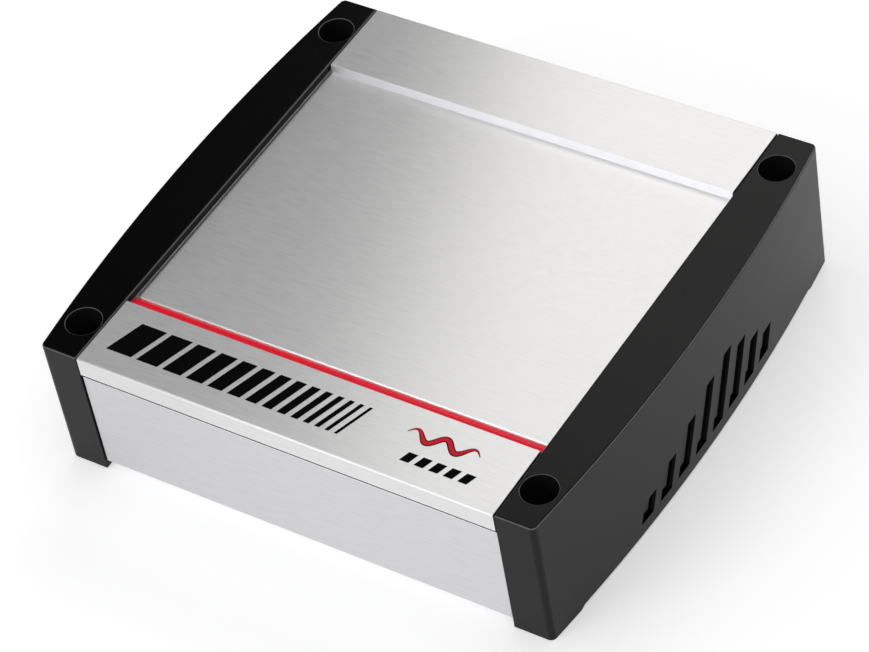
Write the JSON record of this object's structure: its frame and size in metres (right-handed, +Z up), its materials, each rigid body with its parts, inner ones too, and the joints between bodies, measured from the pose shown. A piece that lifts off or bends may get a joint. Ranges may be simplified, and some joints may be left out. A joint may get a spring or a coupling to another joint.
{
  "type": "car audio power amplifier",
  "caption": "Flat car audio amplifier: brushed aluminium cover with a recessed top, bowed black end caps with mounting wells, recessed rear connections.",
  "frame": {"origin": "centre of the footprint, on the surface it is mounted to", "axes": "+Z up out of the mounting surface, +X to the right seen from the front, +Y towards the connection side"},
  "size_m": [0.2326, 0.2156, 0.062],
  "materials": {
    "brushed_aluminium": "brushed",
    "black_moulding": "satin",
    "red_trim": "gloss",
    "zinc_steel": "satin",
    "black_steel": "powder coat",
    "black_oxide_steel": "black oxide",
    "circuit_board": "solder mask",
    "terminal_plastic": "satin",
    "nickel_brass": "nickel plated",
    "gold_brass": "gold plated",
    "copper_winding": "enamelled wire",
    "ferrite": "matte",
    "capacitor_sleeve": "gloss",
    "black_epoxy": "matte",
    "silicone_pad": "matte",
    "fuse_green": "clear tinted",
    "white_plastic": "gloss",
    "red_plastic": "gloss",
    "knob_plastic": "satin",
    "green_lens": "diffused",
    "red_lens": "diffused"
  },
  "bodies": {
    "chassis": {"top_cover": "brushed_aluminium", "trim_strip": "red_trim", "lower_chassis": "brushed_aluminium", "end_cap_right": "black_moulding", "end_cap_left": "black_moulding", "cap_screws": "black_oxide_steel", "end_plate_right": "zinc_steel", "end_plate_left": "zinc_steel", "end_plate_screws": "zinc_steel", "rear_panel": "black_steel", "rear_panel_screws": "black_oxide_steel", "circuit_board": "circuit_board", "board_standoffs": "nickel_brass", "board_screws": "zinc_steel", "power_transformer_core": "ferrite", "power_transformer_winding": "copper_winding", "output_choke_core": "ferrite", "output_choke_winding": "copper_winding", "rail_capacitors": "capacitor_sleeve", "input_capacitors": "capacitor_sleeve", "insulating_pad": "silicone_pad", "power_transistors": "black_epoxy", "rectifier_diodes": "black_epoxy", "transistor_clamp": "zinc_steel", "clamp_screws": "zinc_steel", "control_board": "circuit_board", "header_strip": "terminal_plastic", "header_pins": "gold_brass", "control_chips": "black_epoxy", "power_terminal_housing": "terminal_plastic", "power_terminal_blocks": "nickel_brass", "power_set_screws": "black_oxide_steel", "speaker_terminal_housing": "terminal_plastic", "speaker_terminal_blocks": "nickel_brass", "speaker_set_screws": "black_oxide_steel", "fuse_holder": "terminal_plastic", "fuse_clips": "nickel_brass", "phono_jack_body": "terminal_plastic", "phono_shells": "nickel_brass", "phono_inserts_white": "white_plastic", "phono_inserts_red": "red_plastic", "phono_centre_contacts": "gold_brass", "remote_jack": "terminal_plastic", "remote_jack_contacts": "gold_brass", "pot_bodies": "zinc_steel", "switch_bodies": "zinc_steel", "power_lamp": "green_lens", "protect_lamp": "red_lens"},
    "gain_control": {"gain_shaft": "zinc_steel", "gain_knob": "knob_plastic"},
    "low_pass_control": {"low_pass_shaft": "zinc_steel", "low_pass_knob": "knob_plastic"},
    "bass_boost_control": {"bass_boost_shaft": "zinc_steel", "bass_boost_knob": "knob_plastic"},
    "turn_on_switch": {"turn_on_slider": "white_plastic"},
    "input_level_switch": {"input_level_slider": "white_plastic"},
    "fuse_1": {"fuse_1_body": "fuse_green", "fuse_1_blades": "zinc_steel"},
    "fuse_2": {"fuse_2_body": "fuse_green", "fuse_2_blades": "zinc_steel"}
  },
  "joints": [
    {"name": "gain_turn", "type": "hinge", "parent": "chassis", "child": "gain_control", "pos_m": [-0.034, 0.1, 0.0435], "axis": [0, -1, 0], "range_deg": [-140, 140]},
    {"name": "low_pass_turn", "type": "hinge", "parent": "chassis", "child": "low_pass_control", "pos_m": [-0.016, 0.1, 0.0435], "axis": [0, -1, 0], "range_deg": [-140, 140]},
    {"name": "bass_boost_turn", "type": "hinge", "parent": "chassis", "child": "bass_boost_control", "pos_m": [0.002, 0.1, 0.0435], "axis": [0, -1, 0], "range_deg": [-140, 140]},
    {"name": "turn_on_select", "type": "slide", "parent": "chassis", "child": "turn_on_switch", "axis": [1, 0, 0], "range_m": [-0.0025, 0.0025]},
    {"name": "input_level_select", "type": "slide", "parent": "chassis", "child": "input_level_switch", "axis": [1, 0, 0], "range_m": [0, 0.0032]},
    {"name": "fuse_1_pull", "type": "slide", "parent": "chassis", "child": "fuse_1", "axis": [0, 1, 0], "range_m": [0, 0.012]},
    {"name": "fuse_2_pull", "type": "slide", "parent": "chassis", "child": "fuse_2", "axis": [0, 1, 0], "range_m": [0, 0.012]}
  ]
}
